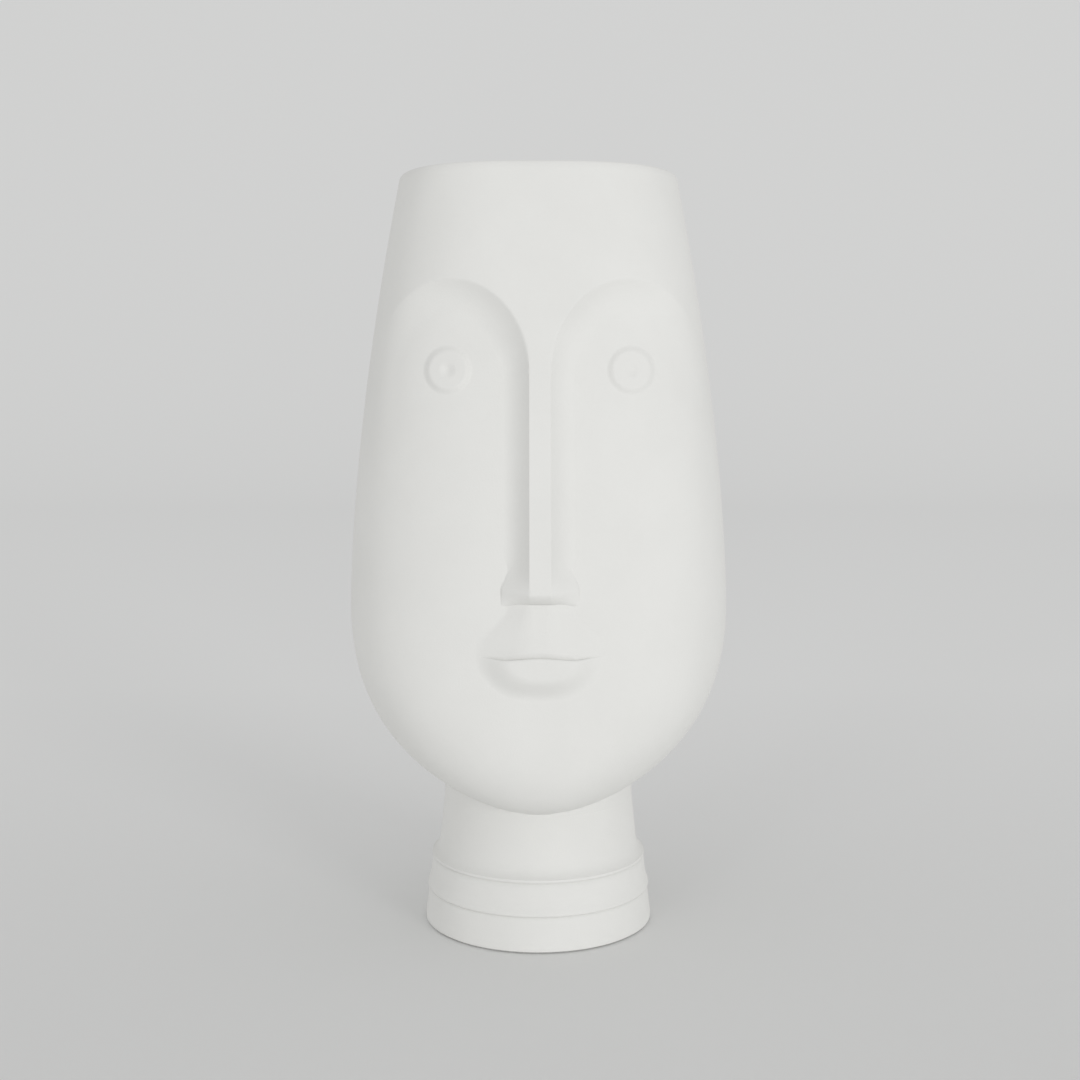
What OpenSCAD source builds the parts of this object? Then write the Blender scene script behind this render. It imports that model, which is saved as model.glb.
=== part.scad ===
// Face vase: a tall hollow head on a short ringed neck, as the clay parts it is luted together from.
// Front of the face is towards -Y, up is +Z, the origin is the centre of the foot's underside.
// Sizes are in millimetres.

/* [Overall] */
// Height from the table to the rim
total_h = 300; // [260:1:360]

/* [Head] */
// Width of the head where it is widest
head_w = 149.6; // [130:0.2:170]
// Height at which the head is widest
head_z = 132; // [118:1:145]
// Width of the head at the rim
rim_w = 109; // [95:1:125]
// Depth of the head at the rim, front to back
rim_d = 108; // [95:1:125]
// Distance from the axis to the cheeks' front line at the widest height
cheek_d = 74.7; // [66:0.1:84]
// Distance from the axis to the cheeks' front line, carried on up to the rim
cheek_top_d = 49.8; // [45:0.2:53]
// Distance from the axis to the forehead's front line, carried on down to the widest height
brow_d = 78; // [76:0.5:86]
// Distance from the axis to the back of the head at the widest height
back_d = 79.5; // [68:0.5:84]
// Height at which the front of the chin would close
chin_z = 51.8; // [46:0.1:54]
// Height at which the jaw's sides and the back would close
jaw_z = 52.1; // [46:0.1:54]
// Squareness of the chin seen from the side, 2 is an ellipse
chin_square = 3.84; // [2.4:0.02:4.4]
// Squareness of the jaw seen from the front, 2 is an ellipse
jaw_square = 2.09; // [1.8:0.01:2.6]
// Height at which the chin's narrow section has become the full face
chin_top_z = 108; // [90:1:130]

/* [Brow arches] */
// Distance from the middle of the face to each arch's centre
arch_x = 32.85; // [31:0.05:38]
// Half width of an arch
arch_half_w = 29; // [25:0.5:30]
// Height at which the arches spring
arch_z = 223; // [205:1:232]
// Rise of an arch above its springing
arch_rise = 34; // [26:0.5:38]
// Width of the cove beside the nose's ridge and down an arch's sides
cove_side = 9.5; // [7:0.5:13]
// Width of the cove at an arch's top
cove_top = 12.5; // [8:0.5:16]

/* [Nose] */
// Height of the nose's underside
nose_z = 139.5; // [136:0.5:146]
// Stand-out of the nose from the cheeks just above its tip
nose_h = 8; // [5:0.5:11]
// Height over which the tip rounds under
nose_tip = 5; // [3:0.5:8]
// Distance from the middle to the outside of each wing
wing_half_w = 14.1; // [12:0.1:17]
// Distance from the middle to each wing's upper end
wing_top_w = 10.2; // [8:0.2:12]
// Height over which the bridge widens into the wings
wing_h = 12; // [8:1:24]

/* [Eyes] */
// Distance from the middle of the face to each eye's centre
eye_x = 33.4; // [29:0.2:38]
// Height of the eyes
eye_z = 224; // [200:1:230]
// Radius of an eye's button
eye_r = 9.3; // [6:0.1:11]
// Stand-out of the button
eye_h = 1.5; // [1.2:0.1:3]
// Radius of the dimple in the button
dimple_r = 3.4; // [2:0.1:5.5]
// Depth of the dimple
dimple_h = 0.9; // [0.4:0.1:1.2]

/* [Mouth] */
// Height of the line between the lips
mouth_z = 122.6; // [118:0.2:128]
// Distance from the middle to each corner of the mouth
mouth_half_w = 23.6; // [18:0.2:28]
// Distance from the middle to where the lips' line is lowest on each side
lip_half_w = 17.6; // [13:0.2:17.8]
// Distance from the middle to each end of the lower lip's full oval
lip_oval_w = 10.6; // [8:0.2:13]
// Distance from the lips' line down to the lowest edge of the lower lip
lower_lip_drop = 16.5; // [13:0.5:20]
// Height of that oval
lip_oval_h = 7.4; // [5:0.2:11]
// Stand-out of the lips
lip_h = 5.2; // [3:0.2:7]
// Stand-out of the upper lip just under the nose
philtrum_h = 2.9; // [1:0.1:4]
// Distance from the middle to the upper lip's edge under the nose
philtrum_half_w = 12.6; // [10:0.2:17]
// Height of the groove between the lips at their ends
groove_h = 0.8; // [0.7:0.1:1.5]
// Extra height of that groove in the middle
lip_arch = 1.4; // [0:0.1:2.5]
// Depth of the groove in the middle
groove_d = 1.5; // [0.5:0.1:2.5]

/* [Neck and foot] */
// Height of the joint between the neck and the head
neck_top_z = 52; // [48:0.5:54]
// Height of the joint between the neck and the ring under it
ring_top_z = 27; // [24:0.5:32]
// Height of the joint between the ring and the foot
foot_top_z = 14.2; // [12:0.2:18]
// Radius of the neck under the head
neck_r = 38.6; // [37:0.2:44]
// Radius of the neck above its flared edge
neck_low_r = 40.4; // [39:0.2:43]
// Radius of the neck's flared edge
neck_lip_r = 43.9; // [43.2:0.1:48]
// Radius of the ring's flared edge
ring_lip_r = 45.7; // [45.2:0.1:50]
// Radius of the foot where it stands
foot_r = 46.7; // [46.4:0.1:52]
// Depth of the shadow line under each flared edge
undercut = 1.1; // [0.4:0.1:1.6]
// Height of the neck's flare
flare_h = 4.5; // [2:0.5:8]
// Radius of the ring between its edges
ring_waist_r = 44.3; // [43.4:0.1:45]
// Bevel on the foot's bottom edge
foot_bevel = 1; // [0.3:0.1:1.5]

/* [Walls and joints] */
// Wall of the head
wall = 5.5; // [4:0.25:6]
// Radius of the bore through the neck
bore_r = 33; // [30:0.25:34]
// Radius of the spigot at each neck joint
spigot_r = 35.8; // [35:0.1:36.4]
// Height of the spigots
spigot_h = 4; // [2:0.5:6]
// Room around a spigot and around the floor disc for slip
slip = 0.1; // [0.05:0.05:0.4]
// Height of the hollow under the floor
foot_hollow = 3; // [1:0.5:5]
// Thickness of the floor disc
floor_t = 6; // [4:0.5:7]
// Thickness of the glaze lining
glaze_t = 0.5; // [0.3:0.1:0.8]
// Distance from the rim down to the glaze's edge
glaze_edge = 2; // [1:0.5:6]
// Thickness to which the edges of the nose, eyes and lips are feathered
feather = 0.3; // [0.15:0.05:0.6]

/* [Hidden] */

bisque = "#e4e3de";
glaze_white = "#f2f2ee";
bare_clay = "#cfc8b8";

// Curves of the head: exponents of its outline and of its superelliptic sections
crown_curve = 1.65;
cheek_bend = 0.15;
cheek_square = 2.87;
brow_square = 2.63;
back_square = 2.4;
chin_section = 2.2;
// Blend where the head runs into the neck
throat_blend = 3;
// Distance below the arches' springing over which the brow's side edges die away
brow_fade = 35;
// Heights over which the inner wall passes from the cheeks to the forehead
inner_low = 12;
inner_high = 52;
// Rounding of the rim's edge
rim_round = 0.8;
// Distances from the middle to the flat ridge's edge and to the lip's middle plane
ridge_half_w = arch_x - arch_half_w;
plane_top = 4;
plane_low = 6;
// Height above the springing over which a cove widens to its width at the arch's top,
// and the exponent with which coves fall
cove_turn = 16;
cove_bend = 2;
// Slopes of the wings' sides and of their outer edge
wing_slope = 0.67;
wing_edge = 3.5;
// Height above the nose's underside up to which the wings keep their width, and over which they taper
wing_low = 5.5;
wing_taper = 9.5;
// Squareness of the nose's rounded tip seen from the side, 2 is an ellipse
tip_square = 2.1;
// Exponent of an eye's rounding towards its edge
eye_square = 4;
// Wave of the lips' line, half of its whole height
lip_wave = 0.9;
// Height left at the lower lip's ends, as a share, so that they don't close to a point
end_h = 0.004;
// Rounding of the lower lip's upper edge
lip_round = 1;
// How soon the upper lip has flared to the mouth's corners, and the exponents with which it flares
// and its planes end
flare_reach = 1.2;
flare_bend = 1.1;
plane_bend = 1.3;
// Gap for slip between the lips, deep in the groove, and height of the step into it
lips_gap = 0.3;
groove_step = 0.3;
// Depth of the groove at its ends, as a share of its depth in the middle
groove_end = 0.4;
// Gap for slip between the face and each piece laid on it, and between the nose and its neighbours
skin_gap = 0.05;
nose_gap = 0.3;
// Heights on a flared edge: of its rounding and of the upright face above it
lip_edge = 0.5;
lip_face = 0.8;
// Height over which the ring and the foot draw in under the edge above, and how far before the shadow line
shoulder_h = 2;
shoulder_in = 0.3;
// Bands of rows of the head's faces: throat, inner throat, and above the arches
throat_band = 14;
inner_band = 22;
arch_band = 4;
// Exponents that bring the rows closer at the nose's tip and at the lower lip's edge,
// and the share of the nose's columns that lie on its ridge
nose_rows = 1.35;
lip_rows = 1.4;
ridge_cols = 0.34;
// Columns of the head's faces: across the face, round each side of the front, round the back
face_angle = 36;
face_cols = 44;
side_cols = 9;
back_cols = 18;
front_cols = face_cols + 2 * side_cols;
cols = front_cols + back_cols;
$fn = 96;

// Small helpers
function limit(t, low = 0, high = 1) = min(high, max(low, t));
function ease(t) = let (s = limit(t)) s * s * (3 - 2 * s);
function lerp(a, b, t) = a + (b - a) * t;
function quarter(t, n) = pow(max(0, 1 - pow(limit(t), n)), 1 / n);
function soft_line(t) = (sqrt(t * t + cheek_bend * cheek_bend) - cheek_bend)
    / (sqrt(1 + cheek_bend * cheek_bend) - cheek_bend);
function blend_min(a, b, k) = let (h = max(0, k - abs(a - b)) / k) min(a, b) - h * h * k / 4;
function blend_max(a, b, k) = -blend_min(-a, -b, k);

// Outline of the head: t climbs from the widest height to the rim, u falls from it to a closing height
function t_up(z) = limit((z - head_z) / (total_h - head_z));
function u_down(z, closing) = (head_z - z) / (head_z - closing);
function bulged(z, wide, top) = lerp(wide, top, pow(t_up(z), crown_curve));
function half_w(z) = z >= head_z
    ? bulged(z, head_w / 2, rim_w / 2)
    : head_w / 2 * quarter(u_down(z, jaw_z), jaw_square);
function cheek_line(z) = z >= head_z
    ? lerp(cheek_d, cheek_top_d, soft_line(t_up(z)))
    : cheek_d * quarter(u_down(z, chin_z), chin_square);
function brow_line(z) = bulged(z, brow_d, rim_d / 2);
function back_line(z) = z >= head_z
    ? bulged(z, back_d, rim_d / 2)
    : back_d * quarter(u_down(z, jaw_z), jaw_square);
function face_square(z) = let (
        t = (z - neck_top_z) / (chin_top_z - neck_top_z)
    ) lerp(chin_section, cheek_square, ease(t));

// Distance from the middle plane of the head to its front, at x and z
function bow(x, z, depth, square) = depth * quarter(abs(x) / half_w(z), square);
function cheek(x, z) = bow(x, z, cheek_line(z), face_square(z));
function forehead(x, z) = bow(x, z, brow_line(z), brow_square);

// Distance inside the nearer arch, negative outside it
function inside_arch(x, z) = let (
        dx = (abs(x) - arch_x) / arch_half_w,
        dz = max(0, z - arch_z) / arch_rise,
        q = max(0.001, norm([dx, dz])),
        slope = max(0.0001, norm([dx / arch_half_w, dz / arch_rise]) / q)
    ) min(arch_half_w, (1 - q) / slope);
// Height left of a cove that starts h high at an edge s away and runs out level
function cove(s, h, wide) = h * pow(1 - limit(s / wide), cove_bend);
function cove_wide(z) = lerp(cove_side, cove_top, ease((z - arch_z) / cove_turn));
// Height of the forehead and brow above the cheek
function brow(x, z) = let (
        fade = abs(x) > arch_x ? ease((z - arch_z + brow_fade) / brow_fade) : (z < arch_z ? 0 : 1),
        h = fade * max(0, forehead(x, z) - cheek(x, z))
    ) cove(inside_arch(x, z), h, cove_wide(z));

// Points of the head's outer face, by the angle a round from the front
function polar(a, wide, depth, square) = 1 / pow(
    pow(abs(sin(a)) / max(1, wide), square) + pow(abs(cos(a)) / max(1, depth), square), 1 / square);
function egg(a, z) = cos(a) > 0
    ? polar(a, half_w(z), cheek_line(z), face_square(z))
    : polar(a, half_w(z), back_line(z), back_square);
function outer_point(a, z) = let (
        r = blend_max(egg(a, z), neck_r, throat_blend),
        x = r * sin(a),
        out = cos(a) > 0 ? brow(x, z) : 0
    ) [x, -r * cos(a) - out, z];

// The inner wall follows the head a wall's thickness in, and runs into the neck's bore
function inner_closing(closing) = max(closing + wall, socket_top_z + 1);
function inner_w(z) = z >= head_z
    ? half_w(z) - wall
    : (head_w / 2 - wall) * quarter(u_down(z, inner_closing(jaw_z)), jaw_square);
function inner_front(z) = z >= head_z
    ? lerp(cheek_line(z), brow_line(z), ease((z - arch_z - inner_low) / (inner_high - inner_low))) - wall
    : (cheek_d - wall) * quarter(u_down(z, inner_closing(chin_z)), chin_square);
function inner_back(z) = z >= head_z
    ? back_line(z) - wall
    : (back_d - wall) * quarter(u_down(z, inner_closing(jaw_z)), jaw_square);
function inner_r(a, z, inset) = let (
        r = cos(a) > 0
            ? polar(a, inner_w(z), inner_front(z), face_square(z))
            : polar(a, inner_w(z), inner_back(z), back_square)
    ) blend_max(r, bore_r, throat_blend) - inset;
function inner_point(a, z, inset = 0) = let (r = inner_r(a, z, inset)) [r * sin(a), -r * cos(a), z];

// Angles of the columns: close together across the face, wider round the sides and the back
function column(i) = let (right_side = side_cols + face_cols)
    i < side_cols ? lerp(-90, -face_angle, i / side_cols)
    : i < right_side ? lerp(-face_angle, face_angle, (i - side_cols) / face_cols)
    : i < front_cols ? lerp(face_angle, 90, (i - right_side) / side_cols)
    : lerp(90, 270, (i - front_cols) / back_cols);
function steps(from, to, count) = [for (i = [0:count - 1]) lerp(from, to, i / count)];
nose_top_z = arch_z - nose_gap;
arch_top_z = arch_z + arch_rise + arch_band;
outer_heights = concat(
    steps(neck_top_z, neck_top_z + throat_band, 6),
    steps(neck_top_z + throat_band, head_z, 9),
    steps(head_z, nose_top_z, 12),
    [nose_top_z],
    steps(arch_z, arch_top_z, 17),
    steps(arch_top_z, total_h - rim_round, 6)
);
socket_top_z = neck_top_z + spigot_h;
inner_heights = concat(
    steps(total_h - glaze_edge, head_z, 6),
    steps(head_z, neck_top_z + inner_band, 5),
    steps(neck_top_z + inner_band, socket_top_z, 4)
);

// One closed skin round through rings of equal count, its last ring joined to its first,
// with the right half's facets split as the left half's mirror image;
// inward is for rings that start down the outside
module ring_skin(rings, inward = false) {
    n = len(rings[0]);
    m = len(rings);
    points = [for (ring = rings, p = ring) p];
    faces = [for (j = [0:m - 1], i = [0:n - 1]) let (
            k = (i + 1) % n,
            a = j * n + i,
            b = j * n + k,
            c = ((j + 1) % m) * n + k,
            d = ((j + 1) % m) * n + i,
            right = i >= front_cols / 2 && i < front_cols + back_cols / 2
        ) each right ? [[a, d, c], [a, c, b]] : [[a, d, b], [b, d, c]]];
    polyhedron(points, inward ? [for (f = faces) [f[0], f[2], f[1]]] : faces);
}

function ring_at(r, z) = [for (i = [0:cols - 1]) let (a = column(i)) [r * sin(a), -r * cos(a), z]];

module head_shell() {
    outer = [for (z = outer_heights) [for (i = [0:cols - 1]) outer_point(column(i), z)]];
    top_out = [for (i = [0:cols - 1]) outer_point(column(i), total_h - rim_round)];
    top_in = [for (i = [0:cols - 1]) inner_point(column(i), total_h)];
    rim_edge = [for (i = [0:cols - 1]) let (
            p = outer_point(column(i), total_h),
            q = top_in[i]
        ) p + (q - p) * rim_round / norm(q - p)];
    inner = [for (z = inner_heights) [for (i = [0:cols - 1]) inner_point(column(i), z)]];
    socket = [
        ring_at(bore_r, socket_top_z),
        ring_at(spigot_r + 2 * slip, socket_top_z),
        ring_at(spigot_r + 2 * slip, neck_top_z)
    ];
    color(bisque)
        ring_skin(concat(outer, [top_out, rim_edge, top_in], inner, socket));
}

// A piece of clay laid on the face: place(u, v) gives x and z, height(x, z) how far it stands out
module sprig(across, up, place, height) {
    seats = [for (j = [0:up], i = [0:across]) place(2 * i / across - 1, 2 * j / up - 1)];
    back = [for (p = seats) [p.x, -cheek(p.x, p.y) - skin_gap, p.y]];
    face = [for (p = seats) let (
            out = max(skin_gap + feather, height(p.x, p.y))
        ) [p.x, -cheek(p.x, p.y) - out, p.y]];
    n = across + 1;
    total = n * (up + 1);
    inner_quads = [for (j = [0:up - 1], i = [0:across - 1]) let (
            a = j * n + i
        ) [a, a + 1, a + n + 1, a + n]];
    fronts = [for (q = inner_quads) each [
        [q[0] + total, q[2] + total, q[1] + total],
        [q[0] + total, q[3] + total, q[2] + total]
    ]];
    backs = [for (q = inner_quads) each [[q[0], q[1], q[2]], [q[0], q[2], q[3]]]];
    edge = concat(
        [for (i = [0:across - 1]) i],
        [for (j = [0:up - 1]) j * n + across],
        [for (i = [across:-1:1]) up * n + i],
        [for (j = [up:-1:1]) j * n]
    );
    sides = [for (i = [0:len(edge) - 1]) let (a = edge[i], b = edge[(i + 1) % len(edge)])
        each [[a, a + total, b + total], [a, b + total, b]]];
    polyhedron(concat(back, face), concat(fronts, backs, sides));
}

// The nose: a flat ridge from between the brows with a cove down each side, and wings at its foot
tip_top_z = nose_z + nose_tip;
function wing(z) = ease((tip_top_z + wing_h - z) / wing_h);
function wing_w(z) = lerp(wing_top_w, wing_half_w, ease((nose_z + wing_low + wing_taper - z) / wing_taper));
function nose_foot(z) = lerp(ridge_half_w + cove_side, wing_w(z), wing(z));
function nose_ridge(z) = let (
        top = brow_line(arch_z) - cheek_line(arch_z)
    ) lerp(nose_h, top, limit((z - tip_top_z) / (arch_z - tip_top_z)));
function nose_height(x, z) = let (
        h = nose_ridge(z),
        s = max(0, abs(x) - ridge_half_w),
        wedge = min(max(0, h - wing_slope * s), wing_edge * max(0, wing_w(z) - abs(x)))
    ) lerp(cove(s, h, cove_side), wedge, wing(z)) * quarter((tip_top_z - z) / nose_tip, tip_square);
function nose_place(u, v) = let (
        z = lerp(nose_z, nose_top_z - skin_gap, pow((v + 1) / 2, nose_rows)),
        side = abs(u) <= ridge_cols
            ? ridge_half_w * abs(u) / ridge_cols
            : lerp(ridge_half_w, nose_foot(z), (abs(u) - ridge_cols) / (1 - ridge_cols))
    ) [sign(u) * side, z];

module nose() {
    color(bisque)
        sprig(22, 24, function(u, v) nose_place(u, v), function(x, z) nose_height(x, z));
}

// The eyes: round buttons with a dimple, laid out on a square grid bent into a disc
function eye_height(r) = eye_h * sqrt(max(0, 1 - pow(limit(r / eye_r), eye_square)))
    - dimple_h * pow(max(0, 1 - pow(r / dimple_r, 2)), 1.5);

module eye(side) {
    color(bisque)
        sprig(16, 16,
            function(u, v) [
                side * eye_x + eye_r * u * sqrt(1 - v * v / 2),
                eye_z + eye_r * v * sqrt(1 - u * u / 2)
            ],
            function(x, z) eye_height(norm([abs(x) - eye_x, z - eye_z])));
}

module left_eye() eye(-1);
module right_eye() eye(1);

// The mouth: a flared upper lip of three planes over a full lower lip that falls softly all round
// from its oval, with a shallow groove between them whose floor is the upper lip's lower edge
upper_lip_top_z = nose_z - 2 * skin_gap;
function lip_line(x) = mouth_z + lip_wave * cos(180 * min(abs(x), mouth_half_w) / lip_half_w);
function lower_lip_top(x) = lip_line(x) - groove_h - lip_arch * max(0, 1 - pow(x / lip_half_w, 2));
function upper_half_w(t) = lerp(philtrum_half_w, mouth_half_w, pow(ease(flare_reach * t), flare_bend));
function groove_depth(x) = groove_d * lerp(groove_end, 1, max(0, 1 - pow(x / lip_half_w, 2)));
function upper_lip_height(x, z) = let (
        t = limit((upper_lip_top_z - z) / (upper_lip_top_z - lip_line(x))),
        plane = lerp(plane_top, plane_low, t),
        f = limit((upper_half_w(t) - abs(x)) / (upper_half_w(t) - plane)),
        in_groove = z < lip_line(x) - groove_step / 2
    ) lerp(philtrum_h, lip_h, t) * (1 - pow(1 - f, plane_bend)) - (in_groove ? groove_depth(x) : 0);
function lower_lip_height(x, z) = let (
        drop = max(0, lower_lip_top(x) - z),
        p = norm([x / lip_oval_w, drop / lip_oval_h]),
        q = norm([x / mouth_half_w, drop / lower_lip_drop]),
        down = p > 1 ? q * (p - 1) / (p - q) : 0,
        round_off = lip_round * (1 - quarter(1 - drop / lip_round, 2))
    ) lip_h * (1 - ease(down)) - round_off;

// Rows of the upper lip's faces, of which the lowest two lie in the groove
upper_rows = 14;

module upper_lip() {
    color(bisque)
        sprig(18, upper_rows,
            function(u, v) let (
                    row = round(upper_rows * (1 + v) / 2),
                    t = limit((upper_rows - row) / (upper_rows - 2)),
                    x = u * upper_half_w(t)
                ) [x, row == 0 ? lower_lip_top(x) + lips_gap
                    : row == 1 ? lip_line(x) - groove_step
                    : lerp(upper_lip_top_z, lip_line(x), t)],
            function(x, z) upper_lip_height(x, z));
}

module lower_lip() {
    color(bisque)
        sprig(18, 16,
            function(u, v) let (x = u * mouth_half_w, t = pow((1 - v) / 2, lip_rows))
                [x, lower_lip_top(x) - t * lower_lip_drop * sqrt(1 + end_h - u * u)],
            function(x, z) lower_lip_height(x, z));
}

// A turned tube with a spigot on top and a socket below
module turned(outline, top, bottom) {
    inside = [
        [spigot_r, top],
        [spigot_r, top + spigot_h - slip],
        [bore_r, top + spigot_h - slip],
        [bore_r, bottom + spigot_h],
        [spigot_r + slip, bottom + spigot_h],
        [spigot_r + slip, bottom]
    ];
    rotate_extrude()
        polygon(concat(outline, inside));
}

// A curve from a to b that leaves a towards via and comes to b from via
function curve(a, via, b, count = 7) = [for (i = [0:count]) let (t = i / count)
    (1 - t) * (1 - t) * a + 2 * t * (1 - t) * via + t * t * b];

// The round lip of a flared edge, up from the shadow line under it
function lip(r, z) = [[r - undercut, z], [r - lip_edge / 3, z + lip_edge / 4], [r, z + lip_edge]];

// The top of a piece, which draws in under the flared edge above it
function shoulder(r, z) = curve([r - shoulder_in, z - shoulder_h], [r - shoulder_in, z - shoulder_h / 2],
    [r - undercut, z], 3);

module neck() {
    face_z = ring_top_z + lip_face;
    color(bisque)
        turned(concat(
            lip(neck_lip_r, ring_top_z),
            curve([neck_lip_r, face_z], [neck_low_r, face_z], [neck_low_r, face_z + flare_h]),
            [[neck_r, neck_top_z]]
        ), neck_top_z, ring_top_z);
}

module neck_ring() {
    face_z = foot_top_z + lip_face;
    color(bisque)
        turned(concat(
            lip(ring_lip_r, foot_top_z),
            curve([ring_lip_r, face_z], [ring_waist_r, face_z + flare_h / 3],
                [ring_waist_r, face_z + flare_h]),
            shoulder(neck_lip_r, ring_top_z)
        ), ring_top_z, foot_top_z);
}

floor_z = foot_hollow + floor_t;
floor_r = spigot_r;

module foot_ring() {
    color(bisque)
        rotate_extrude()
            polygon([
                [floor_r + slip, 0],
                [foot_r - foot_bevel, 0],
                [foot_r, foot_bevel],
                each shoulder(ring_lip_r, foot_top_z),
                [spigot_r, foot_top_z],
                [spigot_r, foot_top_z + spigot_h - slip],
                [bore_r, foot_top_z + spigot_h - slip],
                [bore_r, floor_z],
                [floor_r + slip, floor_z]
            ]);
}

module base_floor() {
    color(bare_clay)
        translate([0, 0, foot_hollow])
            cylinder(r = floor_r, h = floor_t);
}

// The glaze lines the inner wall from its edge below the rim down to the floor
glaze_heights = concat(inner_heights, [socket_top_z, floor_z]);

module inner_glaze() {
    outside = [for (z = glaze_heights) [for (i = [0:cols - 1]) inner_point(column(i), z)]];
    inside = [for (j = [len(glaze_heights) - 1:-1:0]) let (z = max(floor_z + glaze_t, glaze_heights[j]))
        [for (i = [0:cols - 1]) inner_point(column(i), z, glaze_t)]];
    color(glaze_white)
        ring_skin(concat(outside, inside), inward = true);
}

head_shell();
nose();
left_eye();
right_eye();
upper_lip();
lower_lip();
neck();
neck_ring();
foot_ring();
base_floor();
inner_glaze();
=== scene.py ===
import math

import bpy
import numpy as np
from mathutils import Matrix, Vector


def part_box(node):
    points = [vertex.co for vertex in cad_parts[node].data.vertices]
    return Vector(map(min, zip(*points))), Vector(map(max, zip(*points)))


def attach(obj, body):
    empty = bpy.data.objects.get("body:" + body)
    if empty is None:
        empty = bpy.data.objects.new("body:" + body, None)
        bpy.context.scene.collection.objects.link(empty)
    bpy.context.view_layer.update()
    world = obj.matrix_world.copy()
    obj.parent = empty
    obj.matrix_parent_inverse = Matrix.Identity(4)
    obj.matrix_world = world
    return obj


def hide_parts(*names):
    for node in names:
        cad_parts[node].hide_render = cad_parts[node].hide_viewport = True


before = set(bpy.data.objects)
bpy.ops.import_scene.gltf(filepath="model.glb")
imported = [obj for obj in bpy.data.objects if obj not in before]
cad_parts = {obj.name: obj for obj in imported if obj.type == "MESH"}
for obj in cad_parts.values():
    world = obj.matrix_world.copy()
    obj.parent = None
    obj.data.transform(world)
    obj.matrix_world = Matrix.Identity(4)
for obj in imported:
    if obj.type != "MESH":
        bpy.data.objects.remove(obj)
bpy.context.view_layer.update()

# Sizes are in millimetres, as a potter's drawing gives them, and become metres where a mesh is made
MM = 0.001


def node_size(node):
    """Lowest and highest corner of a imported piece, in millimetres."""
    low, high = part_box(node)
    return [c / MM for c in low], [c / MM for c in high]


head_low, head_high = node_size("head_shell")
rim_z = head_high[2]
neck_top_z = head_low[2]
ring_top_z = node_size("neck")[0][2]
foot_top_z = node_size("neck_ring")[0][2]
nose_z = node_size("nose")[0][2]
floor_low_z = node_size("base_floor")[0][2]
floor_top_z = node_size("base_floor")[1][2]
floor_r = node_size("base_floor")[1][0]
neck_lip_r = node_size("neck")[1][0]
ring_lip_r = node_size("neck_ring")[1][0]
foot_r = node_size("foot_ring")[1][0]
mouth_half_w = node_size("upper_lip")[1][0]

# Head: its outline from the front, and how far cheeks, brow and back lie from the axis
head_half_w = head_high[0]
head_z = 132.0
rim_half_w = 54.5
rim_half_d = 54.0
cheek_d = 74.7
cheek_top_d = 49.8
brow_d = 78.0
back_d = head_high[1]
chin_z = 51.8
jaw_z = 52.1
chin_square = 3.84
jaw_square = 2.09
chin_top_z = 108.0
crown_curve = 1.65
cheek_bend = 0.15
cheek_square = 2.87
brow_square = 2.63
back_square = 2.4
chin_section = 2.2
neck_r = 38.6
throat_blend = 3.0

# Brow arches, and the step down from them to the eyes' hollows
arch_x = 32.85
arch_half_w = 29.0
arch_z = 223.0
arch_rise = 34.0
cove_side = 9.5
cove_top = 12.5
cove_turn = 16.0
cove_bend = 2.0
brow_fade = 35.0

# Nose
ridge_half_w = arch_x - arch_half_w
nose_h = 8.0
tip_h = 5.0
tip_square = 1.4
wing_half_w = 14.1
wing_top_w = 10.2
wing_step = 0.45
wing_h = 12.0
wing_low = 5.5
wing_edge = 3.5
wing_taper = 9.5
root_fall = 0.02

# Eyes
eye_x = 33.4
eye_z = 224.0
eye_r = 9.3
eye_h = 1.4
eye_edge = 2.9
dimple_r = 3.4
dimple_h = 0.9

# Mouth
mouth_z = 122.6
lip_wave = 0.9
lip_foot = 0.2
lip_border = 0.5
plane_top = 4.0
plane_low = 6.0
plane_blend = 0.25
philtrum_half_w = 12.6
philtrum_h = 2.9
lip_half_w = 17.6
lip_h = 5.2
lip_oval_w = 10.6
lip_oval_h = 7.4
lower_lip_drop = 16.5
groove_h = 0.8
lip_arch = 1.4
groove_d = 1.2
groove_end = 0.15
groove_bend = 1.3
groove_fade_h = 3.0
lip_tuck = 0.6
lip_round_w = 1.3
lip_round_h = 0.8

# Walls and the turned pieces' bevels
wall = 5.5
brow_wall_start = 12.0
brow_wall_run = 40.0
bore_r = 33.0
glaze_t = 0.5
glaze_edge = 2.0
spigot_h = 4.0
slip = 0.1
socket_wall = 2.6
undercut = 1.1
lip_round = 0.55
foot_bevel_h = 1.1
foot_bevel_w = 1.7
rim_round = 1.2
hidden = 0.6
border_dip = 0.6
steps_round = 256

# The soft boxes, in metres: low, and far enough off to light the paper evenly
lamp_away = 6.0
lamp_size = 1.6


def limit(t, low=0.0, high=1.0):
    return np.clip(t, low, high)


def ease(t):
    s = limit(t)
    return s * s * (3 - 2 * s)


def lerp(a, b, t):
    return a + (b - a) * t


def quarter(t, n):
    """Falls from 1 to 0 along a quarter of a superellipse."""
    return limit(1 - limit(t) ** n, 0, None) ** (1 / n)


def blend_min(a, b, k):
    h = limit(k - np.abs(a - b), 0, None) / k
    return np.minimum(a, b) - h * h * k / 4


def blend_max(a, b, k):
    return -blend_min(-a, -b, k)


def soft_line(t):
    straight = np.sqrt(t * t + cheek_bend**2) - cheek_bend
    return straight / (math.sqrt(1 + cheek_bend**2) - cheek_bend)


def climbed(z):
    return limit((z - head_z) / (rim_z - head_z))


def fallen(z, closing):
    return (head_z - z) / (head_z - closing)


def bulged(z, wide, top):
    return lerp(wide, top, climbed(z) ** crown_curve)


def half_w(z):
    low = head_half_w * quarter(fallen(z, jaw_z), jaw_square)
    return np.where(z >= head_z, bulged(z, head_half_w, rim_half_w), low)


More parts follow.
